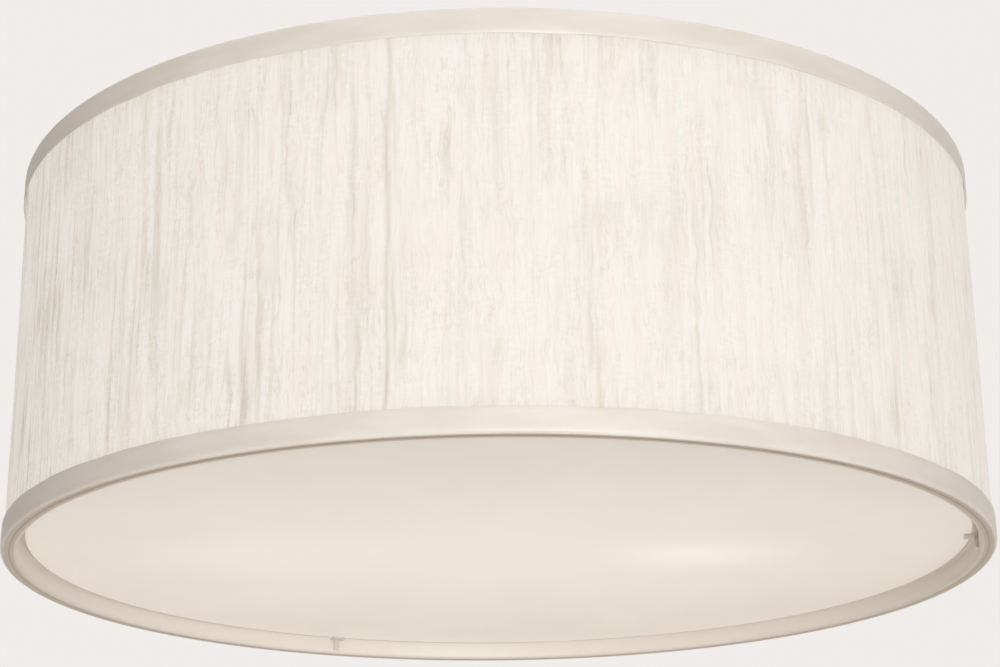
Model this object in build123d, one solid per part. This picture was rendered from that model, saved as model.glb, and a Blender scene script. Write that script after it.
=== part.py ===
from build123d import *
import os
from math import cos, radians, sin

# Flush mount ceiling light: a fabric drum shade and an opal diffuser under a steel ceiling pan,
# with two screw-base bulbs lying back to back along X.
# Millimetres, +Z up. The ceiling is the plane z = 0, the origin is the centre of the light on
# it, and the whole light hangs below. The right-hand lamp points along +X.

# ---------------------------------------------------------------- shade sizes
shade_bottom_diameter = 406.4    # over the bottom trim
shade_taper = 3.8                # how much narrower the shade is over the top trim
shade_height = 158.75
ceiling_gap = 4.0                # from the ceiling to the top edge of the shade
top_trim_height = 10.0
bottom_trim_height = 9.4
trim_thickness = 0.6
trim_edge_radius = 2.0           # outside of the fold over the rim
trim_lap = 1.5                   # how far each trim reaches past the hem under it
fabric_thickness = 0.8
liner_thickness = 0.6
ring_wire_diameter = 3.0
layer_gap = 0.1                  # between the nested layers of the shade

# ---------------------------------------------------------------- spider sizes
arm_count = 3
first_arm_angle = 60.0
arm_wire_diameter = 4.0
arm_inner_radius = 19.0
arm_bend_radius = 10.0
arm_pan_clearance = 6.0          # from the edge of the pan to the rise of the arm
arm_notch_clearance = 0.3        # around an arm, where it passes through the top trim
hub_radius = 30.0
hub_thickness = 2.0
weld_gap = 0.05                  # between two welded pieces

# ---------------------------------------------------------------- diffuser sizes
diffuser_edge_gap = 2.6          # from the edge of the sheet to the trim around it
diffuser_thickness = 3.0
diffuser_height = 7.2            # from the bottom edge of the shade to the diffuser's underside
diffuser_chamfer = 0.4
clip_angles = (-6.0, 114.0, 234.0)
clip_sheet = 0.8
clip_tab_width = 5.9
clip_tab_reach = 2.9             # how far a tab reaches under the diffuser
clip_stem_width = 2.7
clip_wall_gap = 0.5              # between a stem and the trim behind it
clip_upstand = 5.0               # how far a stem reaches above the diffuser
clip_slot_clearance = 0.3

# ---------------------------------------------------------------- ceiling pan sizes
pan_diameter = 252.0
pan_depth = 25.0
pan_sheet = 0.9
pan_flange = 5.0
pan_draft = 6.0                  # how far the wall leans in from flange to floor
pan_bend_radius = 3.0
pad_clearance = 0.3
pad_nut_gap = 1.0                # from the pad up to the wire nuts over it
pad_hole_radius = 14.0
pad_stud_hole_radius = 6.0

# ---------------------------------------------------------------- mounting strap sizes
strap_end_margin = 8.0           # from a stud to the end of the strap
strap_bridge = 7.47              # metal between a stud's hole and the slot beside it
strap_width = 24.0
strap_thickness = 1.8
strap_corner_radius = 4.0
box_screw_spacing = 88.9         # standard spacing of the screws in the ceiling's outlet box
box_slot_width = 4.8
box_slot_length = 12.0
stud_diameter = 4.16
stud_top_gap = 0.2               # from the ceiling to the top of a stud
stud_grip = 7.0                  # how far a stud reaches below the pan
stud_nut_across = 8.7
stud_nut_height = 3.2
stud_chamfer = 0.4
cap_nut_radius = 6.35
cap_nut_body = 9.0
cap_nut_dome = 3.0
cap_nut_bore_depth = 9.0
cap_nut_grooves = 24
cap_nut_groove_radius = 0.45
ground_screw_offset = 26.0
ground_screw_diameter = 4.0
ground_head_across = 8.0
ground_head_height = 3.0
thread_gap = 0.05                # between a thread's two pieces, both drawn plain
passing_gap = 0.5                # around a screw or tube in a plain hole

# ---------------------------------------------------------------- nipple and nut sizes
nipple_diameter = 10.2
nipple_bore = 7.4
nipple_length = 22.2
nipple_stand = 3.0               # how far the nipple stands above its upper nut
nipple_nut_across = 14.3
nipple_nut_height = 4.8
lock_washer_diameter = 15.6
lock_washer_thickness = 1.0
lock_washer_slit = 1.2

# ---------------------------------------------------------------- socket sizes
bracket_width = 20.0
bracket_opening = 24.0           # between the two legs
bracket_sheet = 1.5
bracket_bend_radius = 3.0
bracket_tail = 15.0              # how far a leg reaches below the lamp axis
bracket_corner_radius = 4.0
bracket_slot_margin = 0.4        # around the sockets' lead holes
bracket_slot_length = 25.0
lamp_room = 5.95                 # from the spider's arms down to the bulbs
socket_wall = 2.9
socket_length = 34.0
socket_floor = 6.0
socket_lip_width = 5.0
socket_lip_step = 1.0
socket_edge_radius = 0.5
socket_screw_spacing = 14.0
socket_screw_diameter = 2.9
socket_screw_grip = 5.0
socket_screw_head_radius = 2.5
socket_screw_head_height = 2.0
shell_sheet = 0.35
shell_clearance = 0.15           # between the screw shell and the socket body
shell_hole_radius = 7.0
shell_mouth_inset = 1.5
contact_sheet = 0.5
contact_width = 5.0
contact_rise = 3.0
contact_half_length = 4.8

# ---------------------------------------------------------------- lead sizes
lead_diameter = 2.2
lead_bend_radius = 6.8
lead_bend_rise = 0.5             # from the nipple's top to the start of a lead's bend
lead_clearance = 0.2             # around a pair of leads in a socket's hole
lead_pitch = 3.0                 # between the leads' centrelines in the nipple
hot_hole_offset = 4.0            # from the lamp axis to the live lead's hole
neutral_hole_offset = 9.0        # from the lamp axis to the neutral lead's hole
wire_nut_length = 24.0
wire_nut_mouth_radius = 5.8
wire_nut_tip_radius = 3.6
wire_nut_grip = 14.0             # how far a lead reaches into its wire nut
wire_nut_ridges = 12
wire_nut_ridge_radius = 0.5
wire_nut_distance = 26.0         # from the centre of the light to a wire nut's mouth
wire_nut_bore_gap = 0.15
wire_nut_ceiling_gap = 2.2
ground_lead_diameter = 2.0
ground_nut_distance = 30.0
terminal_sheet = 0.8
terminal_ring_width = 1.95
terminal_tongue_width = 3.6
terminal_neck = 2.8              # from the ring to the barrel
terminal_barrel_length = 6.0

# ---------------------------------------------------------------- bulb sizes
bulb_diameter = 60.0
bulb_length = 106.0
bulb_wall = 0.8
bulb_seal_gap = 0.45             # between the glass and the cap around it
bulb_shoulder_angle = 50.0       # where the round of the bulb runs into its neck
bulb_neck_slope = 0.05
bulb_contact_gap = 0.2
cap_crest_radius = 13.0
thread_pitch = 3.629
thread_depth = 0.8
thread_turns = 5
thread_clearance = 0.3           # between the bulb's thread and the socket's shell
cap_start = 4.0                  # all from the tip of the bulb's contact, along its axis
cap_thread_start = 5.2
cap_collar = 3.155               # plain length past the thread
cap_lip_step = 2.1               # from the thread's crest in to the lip around the insulator
contact_button_radius = 4.6
contact_button_face_radius = 3.5
contact_button_height = 1.2
insulator_end = 6.0
insulator_gap = 0.25             # between the insulator and the cap around it
seal_start = 22.0
neck_gap = 0.3                   # from the end of the cap to the full width of the neck
stem_rod_radius = 2.8
stem_end = 57.0
filament_start = 71.0
filament_half_length = 12.0
filament_radius = 0.9
support_wire_radius = 0.4
support_foot_offset = 1.6

# ---------------------------------------------------------------- levels and radii that follow
shade_top_z = -ceiling_gap
shade_bottom_z = shade_top_z - shade_height
shade_top_diameter = shade_bottom_diameter - shade_taper
ring_wire_radius = ring_wire_diameter / 2
arm_wire_radius = arm_wire_diameter / 2

# Depths of the shade's layers, measured inwards from the outer face of the trims.
hem_inset = trim_thickness + layer_gap
fabric_inset = hem_inset + fabric_thickness
liner_inset = fabric_inset + fabric_thickness + layer_gap
ring_inset = liner_inset + liner_thickness + layer_gap
leg_inset = ring_inset + ring_wire_diameter + layer_gap
rim_inset = leg_inset + trim_thickness
ring_rise = trim_thickness + layer_gap + ring_wire_radius
fold_room = trim_edge_radius + layer_gap

pan_floor_z = -(pan_depth - pan_sheet)
pan_floor_radius = pan_diameter / 2 - pan_flange - pan_draft
hub_bottom_z = -pan_depth - hub_thickness
arm_z = hub_bottom_z - weld_gap - arm_wire_radius
top_ring_z = shade_top_z - ring_rise
bottom_ring_z = shade_bottom_z + ring_rise
bracket_bottom_z = hub_bottom_z - bracket_sheet
diffuser_z = shade_bottom_z + diffuser_height

nipple_radius = nipple_diameter / 2
upper_nut_z = pan_floor_z + lock_washer_thickness
nipple_top_z = upper_nut_z + nipple_nut_height + nipple_stand
nipple_bottom_z = nipple_top_z - nipple_length
lead_top_z = -wire_nut_ceiling_gap - wire_nut_mouth_radius
pad_low = pan_floor_z + pad_clearance
pad_high = lead_top_z - wire_nut_mouth_radius - pad_nut_gap
lamp_z = arm_z - arm_wire_radius - lamp_room - bulb_diameter / 2
stud_spacing = box_screw_spacing + box_slot_length + stud_diameter + 2 * strap_bridge

leg_face = bracket_opening / 2 + bracket_sheet
socket_floor_face = leg_face + socket_floor
shell_root_radius = cap_crest_radius + thread_clearance + thread_depth + shell_sheet
socket_bore_radius = shell_root_radius + shell_clearance
socket_radius = socket_bore_radius + socket_wall
lead_hole_radius = lead_pitch / 2 + lead_diameter / 2 + lead_clearance
terminal_ring_radius = ground_screw_diameter / 2 + passing_gap / 2 + terminal_ring_width
terminal_barrel_start = terminal_ring_radius + terminal_neck
terminal_bore_radius = ground_lead_diameter / 2 + layer_gap
terminal_barrel_radius = terminal_bore_radius + terminal_sheet
contact_face = socket_floor_face + layer_gap + contact_rise + contact_sheet
bulb_tip = contact_face + bulb_contact_gap
bulb_radius = bulb_diameter / 2
bulb_centre = bulb_length - bulb_radius
cap_root_radius = cap_crest_radius - thread_depth
cap_end = cap_thread_start + thread_turns * thread_pitch + cap_collar
cap_lip_radius = cap_crest_radius - cap_lip_step
insulator_radius = cap_lip_radius - shell_sheet - insulator_gap
bulb_seal_radius = cap_root_radius - shell_sheet - bulb_seal_gap
neck_start = cap_end + neck_gap


# ---------------------------------------------------------------- shared shapes
def wall_radius(z, inset):
    """Radius of the slightly tapered shade wall at a height, a depth in from its outer face."""
    share = (z - shade_bottom_z) / shade_height
    outer = shade_bottom_diameter + share * (shade_top_diameter - shade_bottom_diameter)
    return outer / 2 - inset


def turned(points):
    """Solid turned about Z from a closed outline of (radius, height) points."""
    return revolve(Plane.XZ * make_face(Polyline(*points, close=True)), Axis.Z)


def turned_on_x(points):
    """Solid turned about X from a closed outline of (distance, radius) points."""
    return revolve(Plane.XY * make_face(Polyline(*points, close=True)), Axis.X)


def disc(radius, low, high):
    """Upright round solid between two heights."""
    return Pos(0, 0, low) * extrude(Circle(radius), high - low)


def round_along_x(radius, start, end):
    """Round solid along X between two distances."""
    return extrude(Plane(origin=(start, 0, 0), z_dir=(1, 0, 0)) * Circle(radius), end - start)


def hexagon_nut(across, bore_radius, low, height):
    """Hexagon nut on the Z axis, with its lower face at a height."""
    outline = RegularPolygon(across / 2, 6, major_radius=False) - Circle(bore_radius)
    return Pos(0, 0, low) * extrude(outline, height)


def tube(points, radius, bend_radius=None):
    """Round wire along straight runs, joined by tangent arcs where a bend radius is given."""
    path = FilletPolyline(*points, radius=bend_radius) if bend_radius else Line(*points)
    section = Plane(origin=path @ 0, z_dir=path % 0) * Circle(radius)
    return sweep(section, path=path)


def around(shape, angle):
    """Shape turned about the Z axis to an angle in degrees."""
    return Rot(0, 0, angle) * shape


def on_lamp_axis(shape, side):
    """Shape drawn along +X on the lamp axis, put on the right (1) or turned to the left (-1)."""
    return Pos(0, 0, lamp_z) * Rot(0, 0 if side > 0 else 180, 0) * shape


# ---------------------------------------------------------------- shade
def eased(edge):
    """A fold of the tape as a free curve that leaves each straight run smoothly."""
    if edge.geom_type != GeomType.CIRCLE:
        return edge
    return Spline(edge @ 0, edge @ 0.5, edge @ 1, tangents=(edge % 0, edge % 1))


def trim(edge_z, up, height):
    """Tape folded round a rim: a channel with rounded corners, open towards `up` (1 or -1)."""
    tip_z = edge_z + up * height
    outside = FilletPolyline(
        (wall_radius(tip_z, 0), tip_z),
        (wall_radius(edge_z, 0), edge_z),
        (wall_radius(edge_z, rim_inset), edge_z),
        (wall_radius(tip_z, rim_inset), tip_z),
        radius=trim_edge_radius,
    )
    inwards = Side.RIGHT if up > 0 else Side.LEFT
    outline = offset(outside, amount=trim_thickness, side=inwards, kind=Kind.ARC)
    section = make_face(Wire([eased(edge) for edge in outline.edges()]))
    return revolve(Plane.XZ * section, Axis.Z)


def top_trim():
    """Satin tape on the top rim, notched inside for each arm of the spider."""
    shape = trim(shade_top_z, -1, top_trim_height)
    middle = wall_radius(top_ring_z, leg_inset + trim_thickness / 2)
    half_width = arm_wire_radius + arm_notch_clearance
    depth = 2 * trim_thickness
    low = shade_top_z - top_trim_height - trim_thickness
    high = top_ring_z + half_width
    notch = Pos(middle, 0, (low + high) / 2) * Box(depth, 2 * half_width, high - low)
    for angle in arm_angles():
        shape -= around(notch, angle)
    return shape


def bottom_trim():
    """Satin tape on the bottom rim, slit inside for the foot of each diffuser clip."""
    shape = trim(shade_bottom_z, 1, bottom_trim_height)
    middle = wall_radius(bottom_ring_z, leg_inset + trim_thickness / 2)
    width = clip_stem_width + 2 * clip_slot_clearance
    height = clip_sheet + 2 * clip_slot_clearance
    slit = Pos(middle, 0, bottom_ring_z) * Box(2 * trim_thickness, width, height)
    for angle in clip_angles:
        shape -= around(slit, angle)
    return shape


def shade_fabric():
    """Fabric skin: one layer between the trims and a turned-over hem under each trim."""
    levels = (
        shade_bottom_z + fold_room,
        shade_bottom_z + bottom_trim_height - trim_lap,
        shade_top_z - top_trim_height + trim_lap,
        shade_top_z - fold_room,
    )
    inner = fabric_inset + fabric_thickness
    outline = (
        (levels[0], inner), (levels[0], hem_inset), (levels[1], hem_inset),
        (levels[1], fabric_inset), (levels[2], fabric_inset), (levels[2], hem_inset),
        (levels[3], hem_inset), (levels[3], inner),
    )
    return turned([(wall_radius(z, inset), z) for z, inset in outline])


def shade_liner():
    """Stiff plastic sheet behind the fabric."""
    low = shade_bottom_z + fold_room
    high = shade_top_z - fold_room
    inner = liner_inset + liner_thickness
    outline = ((low, liner_inset), (high, liner_inset), (high, inner), (low, inner))
    return turned([(wall_radius(z, inset), z) for z, inset in outline])


def wire_ring(z):
    """Wire hoop inside a rim of the shade."""
    radius = wall_radius(z, ring_inset + ring_wire_radius)
    return Pos(0, 0, z) * Torus(radius, ring_wire_radius)


# ---------------------------------------------------------------- spider
def arm_angles():
    """Directions of the spider's arms, in degrees."""
    return [first_arm_angle + number * 360 / arm_count for number in range(arm_count)]


def spider_hub():
    """Washer that the nipple clamps to the underside of the pan."""
    hole = nipple_radius + passing_gap / 2
    return disc(hub_radius, hub_bottom_z, -pan_depth) - disc(hole, hub_bottom_z, -pan_depth)


def spider_arms():
    """Wires from the hub out under the pan, up past its edge and into the top ring."""
    turn_radius = pan_diameter / 2 + arm_pan_clearance
    rise = top_ring_z - arm_z
    end_radius = wall_radius(top_ring_z, ring_inset + ring_wire_diameter) - weld_gap
    route = (
        (arm_inner_radius, 0, arm_z),
        (turn_radius, 0, arm_z),
        (turn_radius + rise, 0, top_ring_z),
        (end_radius, 0, top_ring_z),
    )
    arm = tube(route, arm_wire_radius, arm_bend_radius)
    return [around(arm, angle) for angle in arm_angles()]


# ---------------------------------------------------------------- diffuser and its clips
def diffuser_radius():
    """Radius of the sheet, that much inside the trim around it."""
    return wall_radius(diffuser_z, rim_inset) - diffuser_edge_gap


def diffuser():
    """Flat opal sheet with lightly broken edges."""
    sheet = disc(diffuser_radius(), diffuser_z, diffuser_z + diffuser_thickness)
    return chamfer(sheet.edges(), diffuser_chamfer)


def diffuser_clip(angle):
    """Sheet metal clip: a foot welded to the bottom ring, an upright stem and a tab."""
    wall = wall_radius(diffuser_z, rim_inset) - clip_wall_gap
    inner = wall - clip_sheet
    ring_face = wall_radius(bottom_ring_z, ring_inset + ring_wire_diameter) - weld_gap
    foot_low = bottom_ring_z - clip_sheet / 2
    stem_top = diffuser_z + diffuser_thickness + clip_upstand
    tab_inner = diffuser_radius() - clip_tab_reach
    foot = (inner, ring_face, clip_stem_width, foot_low, foot_low + clip_sheet)
    stem = (inner, wall, clip_stem_width, foot_low, stem_top)
    tab = (tab_inner, wall, clip_tab_width, diffuser_z - clip_sheet, diffuser_z)
    pieces = []
    for near, far, width, low, high in (foot, stem, tab):
        block = Box(far - near, width, high - low)
        pieces.append(Pos((near + far) / 2, 0, (low + high) / 2) * block)
    return around(pieces[0] + pieces[1] + pieces[2], angle)


# ---------------------------------------------------------------- ceiling pan
def stud_places():
    """Places of the two studs, in the plane of the ceiling."""
    return [Pos(0, side * stud_spacing / 2, 0) for side in (1, -1)]


def ceiling_pan():
    """Pressed steel dish with its flange on the ceiling."""
    rim = pan_diameter / 2
    inside = FilletPolyline(
        (nipple_radius + passing_gap / 2, pan_floor_z),
        (pan_floor_radius, pan_floor_z),
        (rim - pan_flange, 0),
        (rim, 0),
        radius=pan_bend_radius,
    )
    section = make_face(offset(inside, amount=pan_sheet, side=Side.RIGHT, kind=Kind.ARC))
    shape = revolve(Plane.XZ * section, Axis.Z)
    hole = disc(stud_diameter / 2 + passing_gap, -pan_depth - pan_sheet, 0)
    for place in stud_places():
        shape -= place * hole
    return shape


def insulation_pad():
    """Soft heat shield lying in the pan."""
    radius = pan_floor_radius - pan_bend_radius - pad_clearance
    shape = disc(radius, pad_low, pad_high) - disc(pad_hole_radius, pad_low, pad_high)
    for place in stud_places():
        shape -= place * disc(pad_stud_hole_radius, pad_low, pad_high)
    return shape


# ---------------------------------------------------------------- mounting strap and studs
def mounting_strap():
    """Steel strip with slots for the outlet box's screws and tapped holes for studs."""
    length = stud_spacing + 2 * strap_end_margin
    plate = RectangleRounded(strap_width, length, strap_corner_radius)
    for side in (1, -1):
        slot = Rot(0, 0, 90) * SlotOverall(box_slot_length, box_slot_width)
        plate -= Pos(0, side * box_screw_spacing / 2) * slot
        plate -= Pos(0, side * stud_spacing / 2) * Circle(stud_diameter / 2 + thread_gap)
    plate -= Pos(0, ground_screw_offset) * Circle(ground_screw_diameter / 2 + thread_gap)
    return Pos(0, 0, -strap_thickness) * extrude(plate, strap_thickness)


def pan_studs():
    """Threaded studs, drawn plain, from the strap down through the pan."""
    stud = disc(stud_diameter / 2, -pan_depth - stud_grip, -stud_top_gap)
    stud = chamfer(stud.edges(), stud_chamfer)
    return [place * stud for place in stud_places()]


def stud_lock_nuts():
    """Nuts that lock the studs under the strap."""
    low = -strap_thickness - stud_nut_height
    nut = hexagon_nut(stud_nut_across, stud_diameter / 2 + thread_gap, low, stud_nut_height)
    return [place * nut for place in stud_places()]


def cap_nuts():
    """Round knurled nuts with domed ends, turned by hand under the pan."""
    low = -pan_depth - cap_nut_body
    dome_end = low - cap_nut_dome
    dome_radius = (cap_nut_radius**2 + cap_nut_dome**2) / (2 * cap_nut_dome)
    outline = make_face(
        Polyline((0, dome_end), (0, -pan_depth), (cap_nut_radius, -pan_depth), (cap_nut_radius, low))
        + RadiusArc((cap_nut_radius, low), (0, dome_end), dome_radius)
    )
    nut = revolve(Plane.XZ * outline, Axis.Z)
    nut -= disc(stud_diameter / 2 + thread_gap, -pan_depth - cap_nut_bore_depth, -pan_depth)
    groove = Pos(cap_nut_radius, 0, 0) * disc(cap_nut_groove_radius, low, -pan_depth)
    for number in range(cap_nut_grooves):
        nut -= around(groove, number * 360 / cap_nut_grooves)
    return [place * nut for place in stud_places()]


# ---------------------------------------------------------------- nipple and its nuts
def threaded_nipple():
    """Hollow threaded tube, drawn plain, that clamps the pan, the spider and the bracket."""
    outer = disc(nipple_radius, nipple_bottom_z, nipple_top_z)
    return outer - disc(nipple_bore / 2, nipple_bottom_z, nipple_top_z)


def lock_washer(low):
    """Split washer on the nipple."""
    ring = Circle(lock_washer_diameter / 2) - Circle(nipple_radius + passing_gap / 2)
    ring -= Pos(lock_washer_diameter / 2, 0) * Rectangle(lock_washer_diameter, lock_washer_slit)
    return Pos(0, 0, low) * extrude(ring, lock_washer_thickness)


def nipple_nut(low):
    """Hexagon nut on the nipple."""
    return hexagon_nut(nipple_nut_across, nipple_radius + thread_gap, low, nipple_nut_height)


# ---------------------------------------------------------------- sockets
def socket_bracket():
    """Strip bent into a channel: the web is clamped by the nipple, and a socket is on each leg."""
    low = lamp_z - bracket_tail
    outside = FilletPolyline(
        (-leg_face, low), (-leg_face, hub_bottom_z), (leg_face, hub_bottom_z), (leg_face, low),
        radius=bracket_bend_radius,
    )
    section = make_face(offset(outside, amount=bracket_sheet, side=Side.RIGHT, kind=Kind.ARC))
    shape = extrude(Plane.XZ * section, bracket_width / 2, both=True)
    tails = [e for e in shape.edges().filter_by(Axis.X) if abs(e.center().Z - low) < layer_gap]
    shape = fillet(tails, bracket_corner_radius)
    shape -= disc(nipple_radius + passing_gap / 2, bracket_bottom_z, hub_bottom_z)
    slot_width = 2 * (lead_hole_radius + bracket_slot_margin)
    slot = Rot(0, 0, 90) * SlotOverall(bracket_slot_length, slot_width)
    across = Plane(origin=(0, 0, lamp_z), x_dir=(0, 1, 0), z_dir=(1, 0, 0))
    shape -= extrude(across * slot, leg_face, both=True)
    for side in (1, -1):
        hole = Pos(side * socket_screw_spacing / 2, 0) * Circle(socket_screw_diameter / 2 + thread_gap)
        shape -= extrude(across * hole, leg_face, both=True)
    return shape


def socket_body():
    """Moulded cup with a lip at its mouth and holes in its floor for leads and screws."""
    lip = socket_radius + socket_lip_step
    end = leg_face + socket_length
    bore = socket_bore_radius
    outline = make_face(Polyline(
        (leg_face, 0), (leg_face, socket_radius), (end - socket_lip_width, socket_radius),
        (end - socket_lip_width, lip), (end, lip), (end, bore), (socket_floor_face, bore),
        (socket_floor_face, 0), close=True,
    ))
    middle_radius = (socket_radius + lip) / 2
    rounded = [v for v in outline.vertices() if v.Y > middle_radius]
    rounded += [v for v in outline.vertices() if v.Y > bore and v.X < socket_floor_face]
    shape = revolve(Plane.XY * fillet(rounded, socket_edge_radius), Axis.X)
    lead_hole = round_along_x(lead_hole_radius, leg_face, socket_floor_face)
    for level in (hot_hole_offset, -neutral_hole_offset):
        shape -= Pos(0, 0, level) * lead_hole
    screw_hole = round_along_x(socket_screw_diameter / 2 + thread_gap, leg_face, socket_floor_face)
    for side in (1, -1):
        shape -= Pos(0, side * socket_screw_spacing / 2, 0) * screw_hole
    return shape


def socket_screws():
    """Round-headed screws through the bracket's legs into the sockets' floors."""
    inner_face = leg_face - bracket_sheet
    head = round_along_x(socket_screw_head_radius, inner_face - socket_screw_head_height, inner_face)
    head = fillet(head.edges().sort_by(Axis.X)[:1], socket_screw_head_height / 2)
    screw = head + round_along_x(socket_screw_diameter / 2, inner_face, leg_face + socket_screw_grip)
    pair = [Pos(0, side * socket_screw_spacing / 2, 0) * screw for side in (1, -1)]
    return [on_lamp_axis(screw, side) for side in (1, -1) for screw in pair]


def rolled_thread(start, mean_radius, turns):
    """Wavy outline of a rolled sheet thread, as tangent arcs, with its end's distance."""
    swing = thread_depth / 2
    quarter = thread_pitch / 4
    arcs = []
    at = start
    for number in range(2 * turns):
        middle = (at + quarter, mean_radius + (swing if number % 2 == 0 else -swing))
        after = at + 2 * quarter
        arcs.append(ThreePointArc((at, mean_radius), middle, (after, mean_radius)))
        at = after
    return arcs, at


def rolled_shell(lead_in, start, mean_radius, turns, end):
    """Thin sheet shell with a rolled thread, from a run of points to a plain mouth, about X."""
    arcs, thread_end = rolled_thread(start, mean_radius, turns)
    first = Polyline(*lead_in, (start, mean_radius))
    last = Line((thread_end, mean_radius), (end, mean_radius))
    outside = Wire([edge for piece in (first, *arcs, last) for edge in piece.edges()])
    section = make_face(offset(outside, amount=shell_sheet, side=Side.RIGHT, kind=Kind.ARC))
    return revolve(Plane.XY * section, Axis.X)


def screw_shell():
    """Socket's metal shell, with a hole in its floor for the centre contact."""
    floor = socket_floor_face + layer_gap
    mean = shell_root_radius - thread_depth / 2
    start = floor + thread_pitch / 2
    end = leg_face + socket_length - shell_mouth_inset
    lead_in = ((floor, shell_hole_radius), (floor, mean))
    return rolled_shell(lead_in, start, mean, thread_turns, end)


def centre_contact():
    """Bent spring tongue at the bottom of the socket."""
    foot = socket_floor_face + layer_gap
    top = foot + contact_rise
    third = contact_half_length / 3
    under = Polyline((foot, contact_half_length), (foot, third), (top, -third), (top, -contact_half_length))
    section = make_face(offset(under, amount=contact_sheet, side=Side.LEFT, kind=Kind.ARC))
    return extrude(Plane.XZ * section, contact_width / 2, both=True)


# ---------------------------------------------------------------- leads in the fixture
def lead(side, hot):
    """Insulated lead from a socket, up through the nipple and out to its wire nut."""
    y = side * lead_pitch / 2
    toward = 1 if hot else -1
    x = toward * lead_pitch / 2
    hole_offset = hot_hole_offset if hot else -neutral_hole_offset
    z = lamp_z + side * hole_offset
    end = toward * (wire_nut_distance + wire_nut_grip)
    route = ((side * socket_floor_face, y, z), (x, y, z), (x, y, lead_top_z), (end, y, lead_top_z))
    upper_bend = lead_top_z - nipple_top_z - lead_bend_rise
    return tube(route, lead_diameter / 2, [lead_bend_radius, upper_bend])


def wire_nut(bore_radius):
    """Tapered twist-on connector along +X with a blind bore and small ridges."""
    shape = turned_on_x((
        (0, bore_radius), (0, wire_nut_mouth_radius), (wire_nut_length / 4, wire_nut_mouth_radius),
        (wire_nut_length, wire_nut_tip_radius), (wire_nut_length, 0),
        (wire_nut_grip + layer_gap, 0), (wire_nut_grip + layer_gap, bore_radius),
    ))
    groove = round_along_x(wire_nut_ridge_radius, -layer_gap, wire_nut_length / 4)
    for number in range(wire_nut_ridges):
        angle = number * 360 / wire_nut_ridges
        shape -= Rot(angle, 0, 0) * Pos(0, wire_nut_mouth_radius, 0) * groove
    return shape


def pair_wire_nut(hot):
    """Wire nut over the ends of two leads."""
    bore = lead_pitch / 2 + lead_diameter / 2 + wire_nut_bore_gap
    place = Pos(wire_nut_distance, 0, 0) * wire_nut(bore)
    return Pos(0, 0, lead_top_z) * Rot(0, 0, 0 if hot else 180) * place


def ground_wire_nut():
    """Wire nut over the end of the ground lead."""
    nut = wire_nut(ground_lead_diameter / 2 + wire_nut_bore_gap)
    return Pos(-ground_nut_distance, ground_screw_offset, lead_top_z) * Rot(0, 0, 180) * nut


def barrel_z():
    """Height of the ground terminal's barrel, just under the strap."""
    return -strap_thickness - layer_gap - terminal_barrel_radius


def ground_terminal():
    """Ring terminal under the ground screw's head, with a crimp barrel towards -X."""
    low = -strap_thickness - terminal_sheet
    start = terminal_barrel_start
    ring = Circle(terminal_ring_radius)
    tongue_end = start + terminal_barrel_length / 4
    ring += Pos(-tongue_end / 2, 0) * Rectangle(tongue_end, terminal_tongue_width)
    ring -= Circle(ground_screw_diameter / 2 + passing_gap / 2)
    plate = Pos(0, 0, low) * extrude(ring, terminal_sheet)
    barrel = round_along_x(terminal_barrel_radius, -start - terminal_barrel_length, -start)
    barrel_bore = round_along_x(terminal_bore_radius, -start - terminal_barrel_length, -start)
    barrel_place = Pos(0, 0, barrel_z())
    shape = plate + barrel_place * barrel - barrel_place * barrel_bore
    return Pos(0, ground_screw_offset, 0) * shape


def strap_ground_screw():
    """Hexagon-headed screw in the strap, over the ring terminal."""
    head_top = -strap_thickness - terminal_sheet
    head = RegularPolygon(ground_head_across / 2, 6, major_radius=False)
    screw = Pos(0, 0, head_top - ground_head_height) * extrude(head, ground_head_height)
    screw += disc(ground_screw_diameter / 2, head_top, -stud_top_gap)
    return Pos(0, ground_screw_offset, 0) * screw


def ground_lead():
    """Lead from the ring terminal down into the ground wire nut."""
    y = ground_screw_offset
    high = barrel_z()
    start = terminal_barrel_start + terminal_barrel_length / 4
    level_end = terminal_barrel_start + terminal_barrel_length + ground_lead_diameter
    route = (
        (-start, y, high),
        (-level_end, y, high),
        (-ground_nut_distance, y, lead_top_z),
        (-ground_nut_distance - wire_nut_grip, y, lead_top_z),
    )
    return tube(route, ground_lead_diameter / 2, lead_bend_radius)


# ---------------------------------------------------------------- bulbs, along +X from their tip
def glass_outline(wall):
    """Closed outline of the bulb's round and neck, taken in by a wall thickness."""
    radius = bulb_radius - wall
    angle = radians(bulb_shoulder_angle)
    shoulder = (bulb_centre - radius * cos(angle), radius * sin(angle))
    foot = (neck_start, cap_root_radius - wall)
    slope = (sin(angle), cos(angle))
    halfway = radians((180 - bulb_shoulder_angle) / 2)
    round_top = (bulb_centre + radius * cos(halfway), radius * sin(halfway))
    crown = (bulb_centre + radius, 0)
    seal = (seal_start, bulb_seal_radius - wall)
    return make_face(
        Line(seal, foot)
        + Spline(foot, shoulder, tangents=((1, bulb_neck_slope), slope))
        + ThreePointArc(shoulder, round_top, crown)
        + Polyline(crown, (seal_start, 0), seal)
    )


def bulb_glass():
    """Hollow glass envelope, open at its neck."""
    outer = revolve(Plane.XY * glass_outline(0), Axis.X)
    return outer - revolve(Plane.XY * glass_outline(bulb_wall), Axis.X)


def bulb_cap():
    """Rolled screw cap of thin sheet."""
    mean = cap_crest_radius - thread_depth / 2
    return rolled_shell(((cap_start, cap_lip_radius),), cap_thread_start, mean, thread_turns, cap_end)


def bulb_contact():
    """Soldered button at the tip."""
    return turned_on_x((
        (0, 0), (0, contact_button_face_radius), (contact_button_height / 2, contact_button_radius),
        (contact_button_height, contact_button_radius), (contact_button_height, 0),
    ))


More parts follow.
